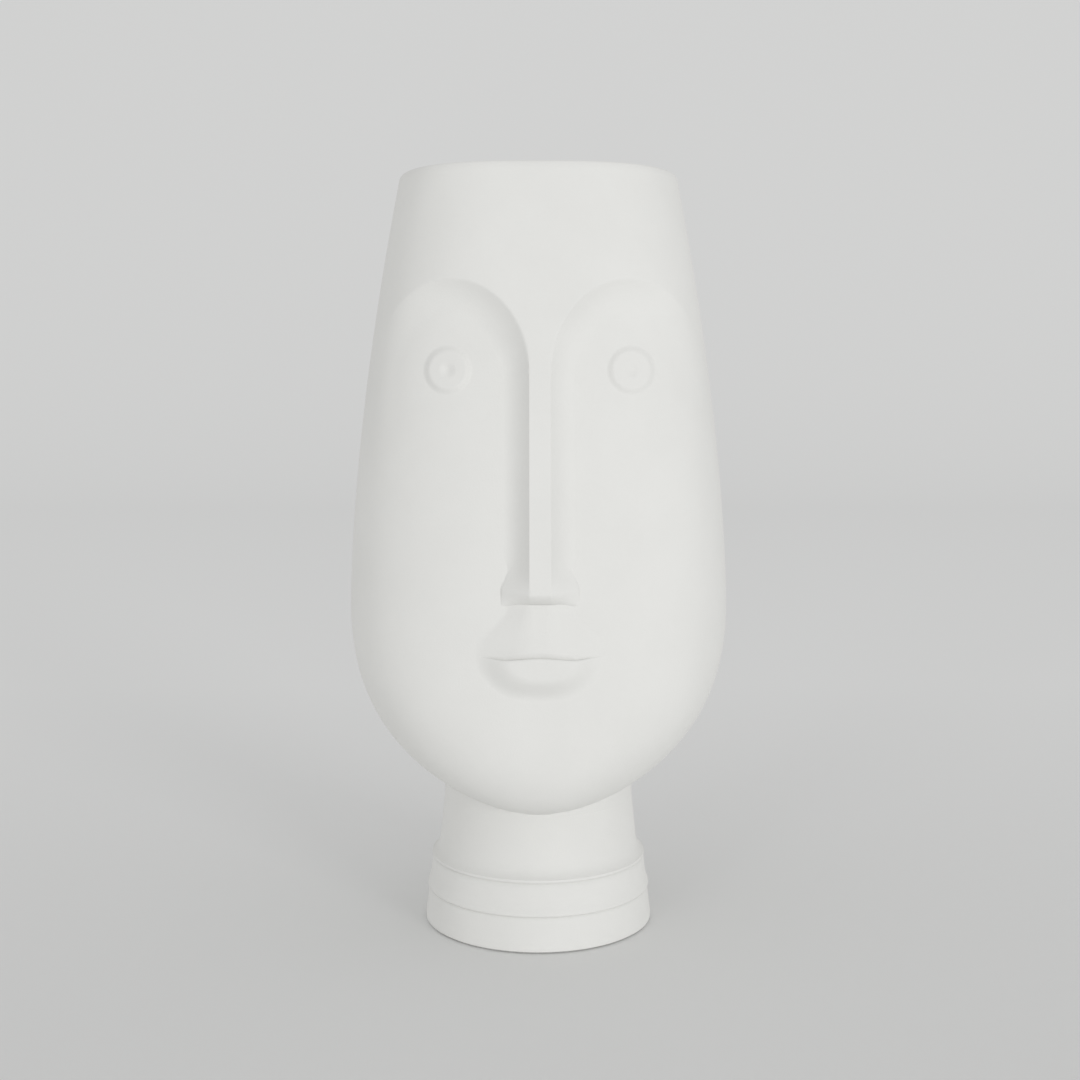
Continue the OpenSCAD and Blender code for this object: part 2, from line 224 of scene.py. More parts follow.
def cheek_line(z):
    high = lerp(cheek_d, cheek_top_d, soft_line(climbed(z)))
    return np.where(z >= head_z, high, cheek_d * quarter(fallen(z, chin_z), chin_square))


def brow_line(z):
    return bulged(z, brow_d, rim_half_d)


def back_line(z):
    low = back_d * quarter(fallen(z, jaw_z), jaw_square)
    return np.where(z >= head_z, bulged(z, back_d, rim_half_d), low)


def face_square(z):
    return lerp(chin_section, cheek_square, ease((z - neck_top_z) / (chin_top_z - neck_top_z)))


def bow(x, z, depth, square):
    """Distance of a superelliptic front from the middle plane."""
    side = limit(np.abs(x) / np.maximum(half_w(z), 1))
    return depth * limit(1 - side**square, 0, None) ** (1 / square)


def cheek(x, z):
    return bow(x, z, cheek_line(z), face_square(z))


def forehead(x, z):
    return bow(x, z, brow_line(z), brow_square)


def inside_arch(x, z):
    """Distance inside the nearer brow arch, negative outside it."""
    dx = (np.abs(x) - arch_x) / arch_half_w
    dz = limit(z - arch_z, 0, None) / arch_rise
    q = np.maximum(np.hypot(dx, dz), 0.001)
    slope = np.maximum(np.hypot(dx / arch_half_w, dz / arch_rise) / q, 0.0001)
    return np.minimum((1 - q) / slope, arch_half_w)


def cove(s, h, wide):
    """A hollow that falls from height h at an edge and runs out level, wide away from it."""
    return h * (1 - limit(s / wide)) ** cove_bend


def cove_wide(z):
    return lerp(cove_side, cove_top, ease((z - arch_z) / cove_turn))


def brow(x, z):
    """Height of the forehead and brows above the cheeks."""
    outer = np.abs(x) > arch_x
    fade = np.where(outer, ease((z - arch_z + brow_fade) / brow_fade), z >= arch_z)
    h = fade * limit(forehead(x, z) - cheek(x, z), 0, None)
    return cove(inside_arch(x, z), h, cove_wide(z))


def wing(z):
    return ease((nose_z + tip_h + wing_h - z) / wing_h)


def wing_w(z):
    """The wings' half width: full at the tip, tapering up into the nose's walls."""
    return lerp(wing_top_w, wing_half_w, ease((nose_z + wing_low + wing_taper - z) / wing_taper))


def nose_foot(z):
    return lerp(ridge_half_w + cove_side, wing_half_w, wing(z))


def nose_ridge(z):
    top = brow_line(arch_z) - cheek_line(arch_z)
    along = limit((z - nose_z - tip_h) / (arch_z - nose_z - tip_h))
    return lerp(nose_h, top, along)


def nose_height(x, z):
    """Flat ridge, hollowed walls, and wings that are plain wedges with a low edge."""
    h = nose_ridge(z)
    s = limit(np.abs(x) - ridge_half_w, 0, None)
    wedge = lerp(h, wing_step, s / (wing_w(z) - ridge_half_w))
    edge = wing_edge * limit(wing_w(z) - np.abs(x), 0, None)
    under = quarter((nose_z + tip_h - z) / tip_h, tip_square)
    return lerp(cove(s, h, cove_side), np.minimum(wedge, edge), wing(z)) * under


def eye_height(r):
    """A low button with a soft edge and a dimple."""
    button = eye_h * ease((eye_r - r) / eye_edge)
    return button - dimple_h * (1 - ease(r / dimple_r))


def lip_line(x):
    wave = limit(np.abs(x) / lip_half_w, 0, mouth_half_w / lip_half_w)
    return mouth_z + lip_wave * np.cos(math.pi * wave)


def lower_lip_top(x):
    return lip_line(x) - groove_h - lip_arch * limit(1 - (x / lip_half_w) ** 2, 0, None)


def upper_half_w(t):
    return lerp(philtrum_half_w, mouth_half_w, ease(1.2 * t) ** 1.1)


def upper_lip_height(x, z):
    """Three planes that flare from under the nose to the lips' line."""
    top = nose_z - 0.1
    t = limit((top - z) / (top - lip_line(x)))
    plane = lerp(plane_top, plane_low, t)
    side = limit((upper_half_w(t) - np.abs(x)) / (upper_half_w(t) - plane), 0, 1.4)
    ramp = np.where(side < lip_foot, side * side / (2 * lip_foot), side - lip_foot / 2)
    ramp = ramp / (1 - lip_foot / 2)
    return lerp(philtrum_h, lip_h, t) * blend_min(ramp, 1.0 + 0 * ramp, plane_blend)


def lower_lip_height(x, z):
    """A full oval from which the lip falls softly all round to the chin, with a rounded upper edge."""
    drop = limit(lower_lip_top(x) - z, 0, None)
    full = np.maximum(np.hypot(x / lip_oval_w, drop / lip_oval_h), 1)
    foot = np.minimum(np.hypot(x / mouth_half_w, drop / lower_lip_drop), 1)
    down = foot * (full - 1) / (full - foot + 1e-9)
    edge = limit(1 - drop / lip_round_w)
    rounded = lip_round_h * (1 - np.sqrt(1 - edge * edge))
    return lip_h * (1 - ease(down)) - rounded * ease((mouth_half_w - np.abs(x)) / 8)


def polar(angle, wide, depth, square):
    """Radius of a superellipse at an angle from the front."""
    side = np.abs(np.sin(angle)) / np.maximum(wide, 1)
    front = np.abs(np.cos(angle)) / np.maximum(depth, 1)
    return (side**square + front**square) ** (-1 / square)


def around(angle, wide, front, back, z):
    ahead = polar(angle, wide, front, face_square(z))
    behind = polar(angle, wide, back, back_square)
    return np.where(np.cos(angle) > 0, ahead, behind)


def outer_point(angle, z):
    r = blend_max(around(angle, half_w(z), cheek_line(z), back_line(z), z), neck_r, throat_blend)
    x = r * np.sin(angle)
    front = np.where(np.cos(angle) > 0, relief(x, z), 0)
    return np.stack([x, -r * np.cos(angle) - front, z + 0 * x], -1)


def relief(x, z):
    """What the head's own skin carries: the brows, and below them a root that dives under the nose."""
    below = limit(arch_z - z, 0, None)
    root = nose_height(x, z) - root_fall * (below**2 + below)
    return np.where(z >= arch_z, brow(x, z), np.maximum(brow(x, z), limit(root, 0, None)))


def inner_closing(closing):
    return max(closing + wall, neck_top_z + spigot_h + 1)


def inner_r(angle, z, inset):
    high = z >= head_z
    to_brow = ease((z - arch_z - brow_wall_start) / brow_wall_run)
    wide = np.where(high, half_w(z) - wall,
                    (head_half_w - wall) * quarter(fallen(z, inner_closing(jaw_z)), jaw_square))
    front = np.where(high, lerp(cheek_line(z), brow_line(z), to_brow) - wall,
                     (cheek_d - wall) * quarter(fallen(z, inner_closing(chin_z)), chin_square))
    back = np.where(high, back_line(z) - wall,
                    (back_d - wall) * quarter(fallen(z, inner_closing(jaw_z)), jaw_square))
    return blend_max(around(angle, wide, front, back, z), bore_r, throat_blend) - inset


def inner_point(angle, z, inset=0.0):
    r = inner_r(angle, z, inset)
    return np.stack([r * np.sin(angle), -r * np.cos(angle), z + 0 * r], -1)


def spread(*stops):
    """Values from stop to stop: each stop is (value, step to the next)."""
    parts = []
    for (start, step), (end, _) in zip(stops, stops[1:]):
        count = max(1, round(abs(end - start) / step))
        parts.append(np.linspace(start, end, count, endpoint=False))
    return np.concatenate(parts + [[stops[-1][0]]])


def outward(mesh):
    """Turns a closed mesh's faces outwards."""
    mesh.calc_loop_triangles()
    corners = np.empty(len(mesh.vertices) * 3)
    mesh.vertices.foreach_get("co", corners)
    tris = np.empty(len(mesh.loop_triangles) * 3, dtype=np.int64)
    mesh.loop_triangles.foreach_get("vertices", tris)
    a, b, c = corners.reshape(-1, 3)[tris.reshape(-1, 3)].transpose(1, 0, 2)
    if np.einsum("ij,ij->", a, np.cross(b, c)) < 0:
        mesh.flip_normals()


def mesh_piece(name, points, faces, material, closed=True, crisp=40):
    """A smooth mesh in metres, with sharp edges where faces meet at more than crisp degrees."""
    mesh = bpy.data.meshes.new(name)
    mesh.from_pydata((np.asarray(points).reshape(-1, 3) * MM).tolist(), [], faces)
    mesh.materials.append(material)
    if closed:
        outward(mesh)
    mesh.shade_smooth()
    mesh.set_sharp_from_angle(angle=math.radians(crisp))
    mesh.validate()
    mesh.update()
    piece = bpy.data.objects.new(name, mesh)
    bpy.context.scene.collection.objects.link(piece)
    return piece


def ring_skin(name, rings, material, poles=None):
    """A skin round through rings of equal count: closed from last to first, or by a pole at each end."""
    m, n = rings.shape[:2]
    index = np.arange(m * n).reshape(m, n)
    rows = index if poles is None else index[:-1]
    above = np.roll(index, -1, axis=0)[: len(rows)]
    quads = np.stack([rows, np.roll(rows, -1, 1), np.roll(above, -1, 1), above], -1)
    quads = quads.reshape(-1, 4).tolist()
    points = rings.reshape(-1, 3)
    if poles is not None:
        points = np.concatenate([points, [(0, 0, poles[0]), (0, 0, poles[1])]])
        quads += [[m * n, int(b), int(a)] for a, b in zip(index[0], np.roll(index[0], -1))]
        quads += [[m * n + 1, int(a), int(b)] for a, b in zip(index[-1], np.roll(index[-1], -1))]
    return mesh_piece(name, points, quads, material)


def face_columns():
    """Angles round the head: close together across the face, wider at the sides and behind."""
    half = spread((0, 0.45), (58, 1.1), (96, 3.0), (180, 3.0))
    return np.radians(np.concatenate([half[:-1], -half[:0:-1]]))


def head(material):
    """The head's skin: outside, over the rim and inside, with its rows closest where the relief bends."""
    angles = face_columns()
    rows = spread((neck_top_z, 0.8), (66, 2.0), (112, 3.0), (182, 1.2), (214, 0.55), (262, 2.0),
                  (rim_z - rim_round, 1.0))
    outer = [outer_point(angles, np.full_like(angles, z)) for z in rows]
    top = outer_point(angles, np.full_like(angles, rim_z))
    inside = inner_point(angles, np.full_like(angles, rim_z))
    inward = (inside - top) / np.linalg.norm(inside - top, axis=-1, keepdims=True)
    lip = []
    for turn in np.radians([22.5, 45, 67.5, 90]):
        in_by = inward * rim_round * (1 - math.cos(turn))
        height = [0, 0, rim_round * (math.sin(turn) - 1)]
        lip.append(top + in_by + height)
    for turn in np.radians([90, 67.5, 45, 22.5, 0]):
        in_by = inward * rim_round * (1 - math.cos(turn))
        height = [0, 0, rim_round * (math.sin(turn) - 1)]
        lip.append(inside - in_by + height)
    inner_rows = spread((rim_z - glaze_edge, 6.0), (neck_top_z + 22, 3.0), (neck_top_z + spigot_h, 1.0))
    inner = [inner_point(angles, np.full_like(angles, z)) for z in inner_rows]
    socket = [ring(angles, neck_r - socket_wall, z) for z in (neck_top_z + spigot_h, neck_top_z)]
    rings = np.array(outer + lip + inner + socket)
    piece = ring_skin("head_shell.skin", rings, material)
    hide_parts("head_shell")
    return piece


def ring(angles, r, z):
    return np.stack([r * np.sin(angles), -r * np.cos(angles), np.full_like(angles, z)], -1)


def sprig(name, x, z, height, material):
    """A closed piece of clay on the face: the front stands out by height, the back lies under the skin."""
    front = np.stack([x, -(cheek(x, z) + height), z], -1)
    back = np.stack([x, -(cheek(x, z) + np.minimum(height, 0) - hidden), z], -1)
    rows, cols = x.shape
    index = np.arange(rows * cols).reshape(rows, cols)
    quads = np.stack([index[:-1, :-1], index[:-1, 1:], index[1:, 1:], index[1:, :-1]], -1).reshape(-1, 4)
    behind = quads[:, ::-1] + rows * cols
    border = np.concatenate([index[0, :-1], index[:-1, -1], index[-1, :0:-1], index[:0:-1, 0]])
    after = np.roll(border, -1)
    sides = np.stack([border, border + rows * cols, after + rows * cols, after], -1)
    faces = np.concatenate([quads, behind, sides]).tolist()
    return mesh_piece(name, np.stack([front, back]), faces, material)


def dips(distance):
    """How far a border goes under the skin, so that no seam shows where a piece meets the face."""
    return -border_dip * limit(distance, 0, None) ** 2


def nose(material):
    low = nose_z + tip_h * (1 - np.cos(np.linspace(0, math.pi / 2, 22)))
    above_wings_z = nose_z + tip_h + wing_h + 2
    high = spread((nose_z + tip_h, 0.7), (above_wings_z, 1.5), (arch_z, 1.0), (arch_z + 3, 1.0))
    z_rows = np.concatenate([low[:-1], high])
    ridge = np.linspace(0, 1, 10)[:-1] * ridge_half_w
    rows = []
    for z in z_rows:
        side = ridge_half_w + (nose_foot(z) + 0.4 - ridge_half_w) * np.linspace(0, 1, 30)
        right = np.concatenate([ridge, side])
        rows.append(np.concatenate([-right[:0:-1], right]))
    x = np.array(rows)
    z = z_rows[:, None] + 0 * x
    over = limit(z - arch_z, 0, None)
    top = brow(x, np.maximum(z, arch_z)) - 2 * root_fall * (over**2 + over)
    h = np.where(z > arch_z, top, nose_height(x, z))
    h = h - 0.3 * limit(np.abs(x) - nose_foot(z), 0, None) - 0.02
    h[0] -= 0.2
    piece = sprig("nose.ridge", x, z, h, material)
    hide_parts("nose")
    return piece


def eye(side, name, material):
    """A square grid bent into a disc, so that the button has no pole."""
    u, v = np.meshgrid(np.linspace(-1, 1, 61), np.linspace(-1, 1, 61))
    reach = eye_r + 0.6
    dx = reach * u * np.sqrt(1 - v * v / 2)
    dz = reach * v * np.sqrt(1 - u * u / 2)
    r = np.hypot(dx, dz)
    h = np.where(r < eye_r, eye_height(r), dips(r - eye_r)) - 0.01
    piece = sprig(name + ".button", side * eye_x + dx, eye_z + dz, h, material)
    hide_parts(name)
    return piece


def upper_lip(material):
    """Three soft planes, and under them a slope that turns in to the lower lip."""
    top = nose_z + 0.8
    across = np.linspace(-1, 1, 121)
    xs, zs, hs = [], [], []
    for t in np.linspace(0, 1, 48):
        x = across * (upper_half_w(t) + lip_border)
        z = lerp(top, lip_line(x), t)
        xs.append(x)
        zs.append(z)
        hs.append(upper_lip_height(x, np.minimum(z, nose_z - 0.1)) + dips(np.abs(x) - upper_half_w(t)))
    edge_x, edge_z, edge_h = xs[-1], zs[-1], hs[-1]
    fade = ease(edge_h / groove_fade_h)
    deep = groove_d * lerp(groove_end, 1, limit(1 - (edge_x / philtrum_half_w) ** 2))
    for down in np.linspace(0, 1, 9)[1:]:
        xs.append(edge_x)
        zs.append(lerp(edge_z, lower_lip_top(edge_x), down * fade))
        hs.append(edge_h - deep * fade * down**groove_bend)
    xs.append(edge_x)
    zs.append(lower_lip_top(edge_x) - lip_tuck * fade)
    hs.append(edge_h - (deep + lip_tuck / 2) * fade)
    x, z, h = np.array(xs[::-1]), np.array(zs[::-1]), np.array(hs[::-1]) - 0.01
    piece = sprig("upper_lip.planes", x, z, h, material)
    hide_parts("upper_lip")
    return piece


def lower_lip(material):
    """A full oval crown with a rounded upper edge and a soft wall that runs out into the chin."""
    across, t = np.meshgrid(np.linspace(-1, 1, 121), np.linspace(0, 1, 64)[::-1] ** 1.3)
    x = across * (mouth_half_w + lip_border)
    z = lower_lip_top(x) - t * (lower_lip_drop + 0.6) * np.sqrt(1.004 - across**2)
    out = np.hypot(x / mouth_half_w, limit(lower_lip_top(x) - z, 0, None) / lower_lip_drop) - 1
    h = lower_lip_height(x, z) + dips(out * lower_lip_drop) - 0.01
    piece = sprig("lower_lip.crown", x, z, h, material)
    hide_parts("lower_lip")
    return piece


def arc(centre, r, start, end, count):
    """Points of an arc in the turning plane, from one angle to another in degrees."""
    turns = np.radians(np.linspace(start, end, count))
    return [(centre[0] + r * math.cos(a), centre[1] + r * math.sin(a)) for a in turns]


def curve(a, via, b, count=9):
    """A parabolic curve from a to b that leaves and arrives towards via."""
    points = []
    for t in np.linspace(0, 1, count):
        shares = ((1 - t) ** 2, 2 * t * (1 - t), t * t)
        points.append(tuple(sum(s * c for s, c in zip(shares, axis)) for axis in zip(a, via, b)))
    return points


def wheel():
    """Geometry nodes that throw a closed outline round the axis, as clay on a wheel."""
    tree = bpy.data.node_groups.new("wheel", "GeometryNodeTree")
    face = tree.interface
    face.new_socket(name="Outline", in_out="INPUT", socket_type="NodeSocketGeometry")
    steps = face.new_socket(name="Steps round", in_out="INPUT", socket_type="NodeSocketInt")
    steps.default_value = steps_round
    centre = face.new_socket(name="Outline's distance", in_out="INPUT", socket_type="NodeSocketFloat")
    crisp = face.new_socket(name="Crisp angle", in_out="INPUT", socket_type="NodeSocketFloat")
    crisp.default_value = math.radians(35)
    clay_in = face.new_socket(name="Clay", in_out="INPUT", socket_type="NodeSocketMaterial")
    face.new_socket(name="Piece", in_out="OUTPUT", socket_type="NodeSocketGeometry")
    nodes, links = tree.nodes, tree.links
    given = nodes.new("NodeGroupInput")
    out = nodes.new("NodeGroupOutput")
    path = nodes.new("GeometryNodeCurvePrimitiveCircle")
    line = nodes.new("GeometryNodeMeshToCurve")
    sweep = nodes.new("GeometryNodeCurveToMesh")
    smooth = nodes.new("GeometryNodeSetShadeSmooth")
    angle = nodes.new("GeometryNodeInputMeshEdgeAngle")
    over = nodes.new("FunctionNodeCompare")
    over.data_type = "FLOAT"
    over.operation = "GREATER_THAN"
    sharp = nodes.new("GeometryNodeSetShadeSmooth")
    sharp.domain = "EDGE"
    sharp.inputs["Shade Smooth"].default_value = False
    real = nodes.new("GeometryNodeRealizeInstances")
    dress = nodes.new("GeometryNodeSetMaterial")
    links.new(given.outputs["Outline"], line.inputs["Mesh"])
    links.new(given.outputs["Steps round"], path.inputs["Resolution"])
    links.new(given.outputs["Outline's distance"], path.inputs["Radius"])
    links.new(path.outputs["Curve"], sweep.inputs["Curve"])
    links.new(line.outputs["Curve"], sweep.inputs["Profile Curve"])
    links.new(sweep.outputs["Mesh"], smooth.inputs["Geometry"])
    links.new(smooth.outputs["Geometry"], sharp.inputs["Geometry"])
    links.new(angle.outputs["Unsigned Angle"], over.inputs[0])
    links.new(given.outputs["Crisp angle"], over.inputs[1])
    links.new(over.outputs["Result"], sharp.inputs["Selection"])
    links.new(sharp.outputs["Geometry"], real.inputs["Geometry"])
    links.new(real.outputs["Geometry"], dress.inputs["Geometry"])
    links.new(given.outputs["Clay"], dress.inputs["Material"])
    links.new(dress.outputs["Geometry"], out.inputs["Piece"])
    return tree, {"steps": steps.identifier, "centre": centre.identifier, "clay": clay_in.identifier}


def turned(name, outline, node, material, thrower):
    """A piece thrown on the wheel from a closed outline of (radius, height) points."""
    tree, sockets = thrower
    centre = bore_r * MM
    points = [(r * MM - centre, -z * MM, 0) for r, z in outline]
    edges = [(i, (i + 1) % len(points)) for i in range(len(points))]
    line = bpy.data.meshes.new(name + ".outline")
    line.from_pydata(points, edges, [])
    blank = bpy.data.objects.new(name + ".outline", line)
    bpy.context.scene.collection.objects.link(blank)
    throw = blank.modifiers.new("throw", "NODES")
    throw.node_group = tree
    throw[sockets["steps"]] = steps_round
    throw[sockets["centre"]] = centre
    throw[sockets["clay"]] = material
    seen = bpy.context.evaluated_depsgraph_get()
    mesh = bpy.data.meshes.new_from_object(blank.evaluated_get(seen))
    bpy.data.objects.remove(blank)
    mesh.name = name
    outward(mesh)
    piece = bpy.data.objects.new(name, mesh)
    bpy.context.scene.collection.objects.link(piece)
    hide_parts(node)
    return piece


def bored(bottom, top):
    """The inside of a turned piece: a spigot above, as wide as the floor disc, the bore and a socket."""
    spigot = [(floor_r, top), (floor_r, top + spigot_h - slip), (bore_r, top + spigot_h - slip)]
    socket_r, socket_z = floor_r + slip, bottom + spigot_h
    return spigot + [(bore_r, socket_z), (socket_r, socket_z), (socket_r, bottom)]


def neck(material, thrower):
    lip_z = ring_top_z + lip_round
    outline = [(neck_lip_r - undercut, ring_top_z)]
    outline += arc((neck_lip_r - lip_round, lip_z + 0.15), lip_round, -90, 0, 6)
    flare_r, flare_z = 40.4, ring_top_z + 7.5
    lip_top = (neck_lip_r - 0.1, lip_z + 0.8)
    outline += curve(lip_top, (flare_r + 0.5, ring_top_z + 3.2), (flare_r, flare_z), 14)
    outline += [(lerp(flare_r, neck_r, t), lerp(flare_z, neck_top_z, t)) for t in (0.33, 0.66, 1)]
    return turned("neck.tube", outline + bored(ring_top_z, neck_top_z), "neck", material, thrower)


def neck_ring(material, thrower):
    lip_z = foot_top_z + lip_round
    outline = [(ring_lip_r - undercut, foot_top_z)]
    outline += arc((ring_lip_r - lip_round, lip_z + 0.15), lip_round, -90, 0, 6)
    lip_top = (ring_lip_r - 0.1, lip_z + 1.0)
    waist = (44.2, foot_top_z + 6.5)
    tucked = (neck_lip_r - undercut, ring_top_z)
    outline += curve(lip_top, (44.7, foot_top_z + 3.4), waist, 8)
    outline += curve((43.9, ring_top_z - 3), (neck_lip_r - 0.3, ring_top_z - 1.0), tucked, 6)
    return turned("neck_ring.band", outline + bored(foot_top_z, ring_top_z), "neck_ring", material, thrower)


def foot_ring(material, thrower):
    outline = [(floor_r + slip, 0), (foot_r - foot_bevel_w, 0), (foot_r - 0.15, foot_bevel_h - 0.15)]
    waist = (45.4, foot_top_z - 2.5)
    tucked = (ring_lip_r - undercut, foot_top_z)
    spigot_top_z = foot_top_z + spigot_h - slip
    outline += curve((foot_r - 0.1, 2.5), (ring_lip_r + 0.1, 8.0), waist, 8)
    outline += curve((45.3, foot_top_z - 1.8), (ring_lip_r - 0.4, foot_top_z - 0.6), tucked, 5)
    outline += [(floor_r, foot_top_z), (floor_r, spigot_top_z), (bore_r, spigot_top_z)]
    outline += [(bore_r, floor_top_z), (floor_r + slip, floor_top_z)]
    return turned("foot_ring.base", outline, "foot_ring", material, thrower)


def base_floor(material):
    """A rolled disc with a wiped edge."""
    angles = np.linspace(0, 2 * math.pi, steps_round, endpoint=False)
    wiped_edge = [(floor_r - 0.5, floor_low_z), (floor_r - 0.15, floor_low_z + 0.15)]
    side = [(floor_r, floor_low_z + 0.5), (floor_r, floor_top_z)]
    outline = [(floor_r / 2, floor_low_z)] + wiped_edge + side + [(floor_r / 2, floor_top_z)]
    rings = np.array([ring(angles, r, z) for r, z in outline])
    piece = ring_skin("base_floor.disc", rings, material, poles=(floor_low_z, floor_top_z))
    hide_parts("base_floor")
    return piece


def inner_glaze(material):
    """The glaze's lining: down from its edge under the rim to the floor, and back up inside itself."""
    angles = np.radians(np.arange(0, 360, 2.0))
    rows = spread((rim_z - glaze_edge, 5.0), (neck_top_z + 22, 1.5), (neck_top_z + spigot_h, 4.0),
                  (floor_top_z + 2, 1.0), (floor_top_z, 1.0))
    outside = [inner_point(angles, np.full_like(angles, z)) for z in rows]
    above_corner = rows[-3::-1]
    inside = [inner_point(angles, np.full_like(angles, z), glaze_t) for z in above_corner]
    corner_r = 1.5
    corner = [ring(angles, bore_r - glaze_t - corner_r * (1 - math.cos(a)),
                   floor_top_z + glaze_t + corner_r * (1 - math.sin(a)))
              for a in np.radians([90, 65, 40, 15])]
    under = ring(angles, bore_r / 2, floor_top_z)
    middle = ring(angles, bore_r / 2, floor_top_z + glaze_t)
    rings = np.array([under] + outside[::-1] + inside[::-1] + corner[::-1] + [middle])
    piece = ring_skin("inner_glaze.lining", rings, material, poles=(floor_top_z, floor_top_z + glaze_t))
    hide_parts("inner_glaze")
    return piece


def socket(group, name, way, kind, value=None):
    made = group.interface.new_socket(name=name, in_out=way, socket_type=kind)
    if value is not None:
        made.default_value = value
    return made


def clay_grain():
    """Cloudy patches and a fine tooth, as on unglazed fired clay; every size is per metre of surface."""
    group = bpy.data.node_groups.new("clay grain", "ShaderNodeTree")
    socket(group, "Cloud size", "INPUT", "NodeSocketFloat", 22.0)
    socket(group, "Tooth size", "INPUT", "NodeSocketFloat", 1500.0)
    socket(group, "Clouds", "OUTPUT", "NodeSocketFloat")
    socket(group, "Tooth", "OUTPUT", "NodeSocketFloat")
    nodes, links = group.nodes, group.links
    given = nodes.new("NodeGroupInput")
    out = nodes.new("NodeGroupOutput")
    place = nodes.new("ShaderNodeTexCoord")
    clouds = nodes.new("ShaderNodeTexNoise")
    clouds.inputs["Detail"].default_value = 6.0
    clouds.inputs["Roughness"].default_value = 0.6
    tooth = nodes.new("ShaderNodeTexNoise")
    tooth.inputs["Detail"].default_value = 3.0
    tooth.inputs["Roughness"].default_value = 0.55
    links.new(place.outputs["Object"], clouds.inputs["Vector"])
    links.new(place.outputs["Object"], tooth.inputs["Vector"])
    links.new(given.outputs["Cloud size"], clouds.inputs["Scale"])
    links.new(given.outputs["Tooth size"], tooth.inputs["Scale"])
    links.new(clouds.outputs["Fac"], out.inputs["Clouds"])
    links.new(tooth.outputs["Fac"], out.inputs["Tooth"])
    return group


def new_material(name):
    material = bpy.data.materials.new(name)
    material.use_nodes = True
    nodes = material.node_tree.nodes
    return material, nodes, material.node_tree.links, nodes["Principled BSDF"]


def clay(name, grain, pale, deep, rough, tooth_depth, cloud_size):
    """Fired clay: its colour drifts in clouds between two near tones; a fine tooth breaks the light."""
    material, nodes, links, shader = new_material(name)
    cut = nodes.new("ShaderNodeGroup")
    cut.node_tree = grain
    cut.inputs["Cloud size"].default_value = cloud_size
    tone = nodes.new("ShaderNodeValToRGB")
    tone.color_ramp.elements[0].position = 0.3
    tone.color_ramp.elements[0].color = (*deep, 1)
    tone.color_ramp.elements[1].position = 0.7
    tone.color_ramp.elements[1].color = (*pale, 1)
    dry = nodes.new("ShaderNodeMapRange")
    dry.inputs["To Min"].default_value = rough - 0.06
    dry.inputs["To Max"].default_value = rough + 0.06
    bump = nodes.new("ShaderNodeBump")
    bump.inputs["Strength"].default_value = 0.35
    bump.inputs["Distance"].default_value = tooth_depth
    links.new(cut.outputs["Clouds"], tone.inputs["Fac"])
    links.new(tone.outputs["Color"], shader.inputs["Base Color"])
    links.new(cut.outputs["Clouds"], dry.inputs["Value"])
    links.new(dry.outputs["Result"], shader.inputs["Roughness"])
    links.new(cut.outputs["Tooth"], bump.inputs["Height"])
    links.new(bump.outputs["Normal"], shader.inputs["Normal"])
    shader.inputs["Specular IOR Level"].default_value = 0.3
    return material


def glaze(name, grain):
    """A clear satin glaze over the white body, with the slight ripple of a poured lining."""
    material, nodes, links, shader = new_material(name)
    cut = nodes.new("ShaderNodeGroup")
    cut.node_tree = grain
    cut.inputs["Cloud size"].default_value = 60.0
    tone = nodes.new("ShaderNodeValToRGB")
    tone.color_ramp.elements[0].color = (0.70, 0.70, 0.66, 1)
    tone.color_ramp.elements[1].color = (0.80, 0.80, 0.77, 1)
    ripple = nodes.new("ShaderNodeBump")
    ripple.inputs["Strength"].default_value = 0.25
    ripple.inputs["Distance"].default_value = 0.0006
    links.new(cut.outputs["Clouds"], tone.inputs["Fac"])
    links.new(tone.outputs["Color"], shader.inputs["Base Color"])
    links.new(cut.outputs["Clouds"], ripple.inputs["Height"])
    links.new(ripple.outputs["Normal"], shader.inputs["Normal"])
    shader.inputs["Roughness"].default_value = 0.22
    return material


def seen_directly(nodes, links):
    """1 for a ray from the eye, straight or by gloss or glass, and 0 for the light between surfaces."""
    path = nodes.new("ShaderNodeLightPath")
    seen = path.outputs["Is Camera Ray"]
    for other in ("Is Glossy Ray", "Is Transmission Ray"):
        either = nodes.new("ShaderNodeMath")
        either.operation = "MAXIMUM"
        links.new(seen, either.inputs[0])
        links.new(path.outputs[other], either.inputs[1])
        seen = either.outputs[0]
    return seen


def backdrop_paper():
    """White paper that lights the vase back. As seen it is a little greyer, with painted shade that deepens
    towards the front, most so near the eye.
    """
    material, nodes, links, shader = new_material("backdrop paper")
    shader.inputs["Base Color"].default_value = (0.96, 0.96, 0.955, 1)
    grey = nodes.new("ShaderNodeBsdfPrincipled")
    for paper in (shader, grey):
        paper.inputs["Roughness"].default_value = 1.0
        paper.inputs["Specular IOR Level"].default_value = 0.0
    place = nodes.new("ShaderNodeTexCoord")
    parts = nodes.new("ShaderNodeSeparateXYZ")
    painted_shade_by_depth = nodes.new("ShaderNodeMapRange")
    painted_shade_by_depth.inputs["From Min"].default_value = -0.25
    painted_shade_by_depth.inputs["From Max"].default_value = 0.5
    # painted shade: the paper as seen darkens towards the front of the table, standing in for light that
    # falls off there
    tone = nodes.new("ShaderNodeValToRGB")
    tone.color_ramp.elements[0].color = (0.762, 0.765, 0.759, 1)
    tone.color_ramp.elements[1].color = (0.870, 0.873, 0.867, 1)
    links.new(place.outputs["Object"], parts.inputs["Vector"])
    links.new(parts.outputs["Y"], painted_shade_by_depth.inputs["Value"])
    links.new(painted_shade_by_depth.outputs["Result"], tone.inputs["Fac"])
    links.new(tone.outputs["Color"], grey.inputs["Base Color"])
    mix = nodes.new("ShaderNodeMixShader")
    links.new(seen_directly(nodes, links), mix.inputs["Fac"])
    links.new(shader.outputs["BSDF"], mix.inputs[1])
    links.new(grey.outputs["BSDF"], mix.inputs[2])
    links.new(mix.outputs["Shader"], nodes["Material Output"].inputs["Surface"])
    return material


